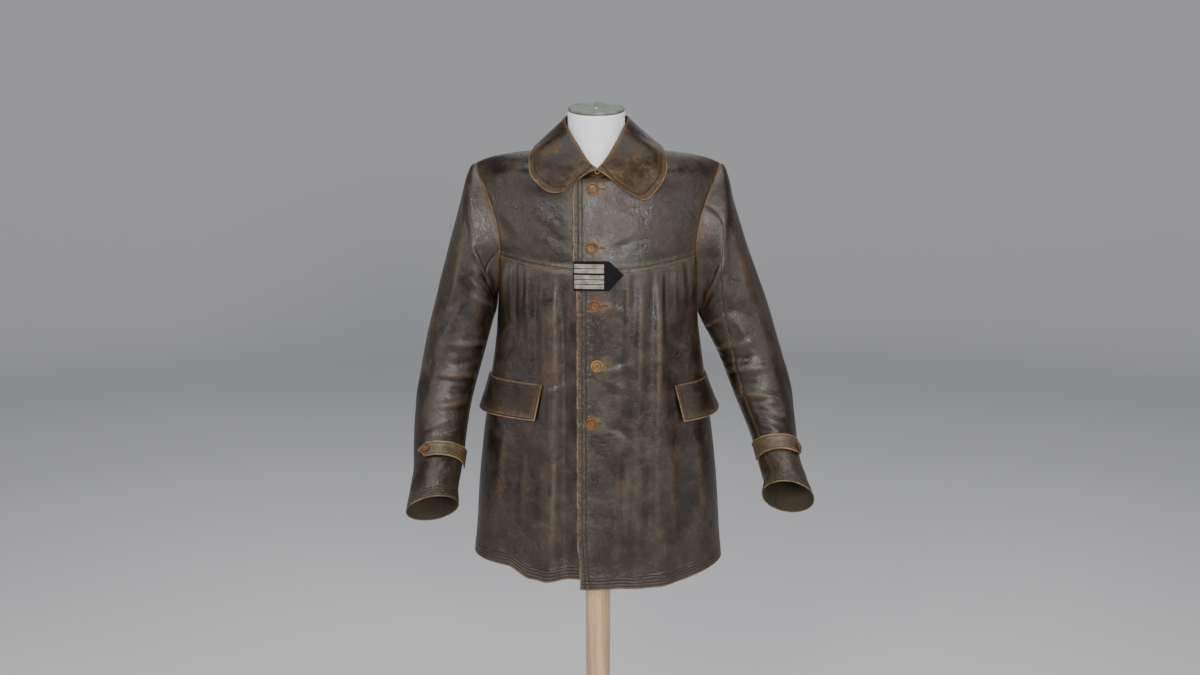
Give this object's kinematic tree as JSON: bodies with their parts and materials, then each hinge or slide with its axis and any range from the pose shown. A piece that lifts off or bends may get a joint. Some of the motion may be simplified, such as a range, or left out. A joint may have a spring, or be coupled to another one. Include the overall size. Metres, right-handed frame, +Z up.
{
  "type": "leather military jacket on a dress form",
  "caption": "Hip-length buttoned leather jacket with collar, yoke, hip flaps and tabbed cuffs, worn by a limbless dress form on a pole and round base",
  "frame": {"origin": "on the floor, at the middle of the base's underside", "axes": "+Z up, the jacket's front faces -Y, +X towards the wearer's left"},
  "size_m": [0.7427, 0.3573, 1.5158],
  "materials": {
    "leather": "worn semi-gloss dark brown hide",
    "collar_leather": "mottled ochre-brown hide, rubbed at the edges",
    "horn": "amber-brown horn, polished",
    "tab_cloth": "black wool cloth",
    "braid": "ribbed silver-grey braid",
    "jersey": "white cotton jersey, stretched smooth",
    "cap": "grey-green paint",
    "wood": "pale varnished beech"
  },
  "bodies": {
    "root": {"front_yoke_right": "leather", "front_yoke_left": "leather", "front_right": "leather", "front_left": "leather", "back_yoke": "leather", "back": "leather", "sleeve_top_right": "leather", "sleeve_under_right": "leather", "sleeve_top_left": "leather", "sleeve_under_left": "leather", "flap_right": "leather", "flap_left": "leather", "cuff_tab_right": "leather", "cuff_tab_left": "leather", "collar_fall": "collar_leather", "collar_stand": "collar_leather", "button_front_1": "horn", "button_front_2": "horn", "button_front_3": "horn", "button_front_4": "horn", "button_front_5": "horn", "button_cuff_right": "horn", "button_cuff_left": "horn", "rank_tab": "tab_cloth", "rank_stripe_1": "braid", "rank_stripe_2": "braid", "rank_stripe_3": "braid", "rank_stripe_4": "braid", "rank_stripe_5": "braid", "form_torso": "jersey", "form_cap": "cap", "pole": "wood", "base": "wood"}
  },
  "joints": []
}
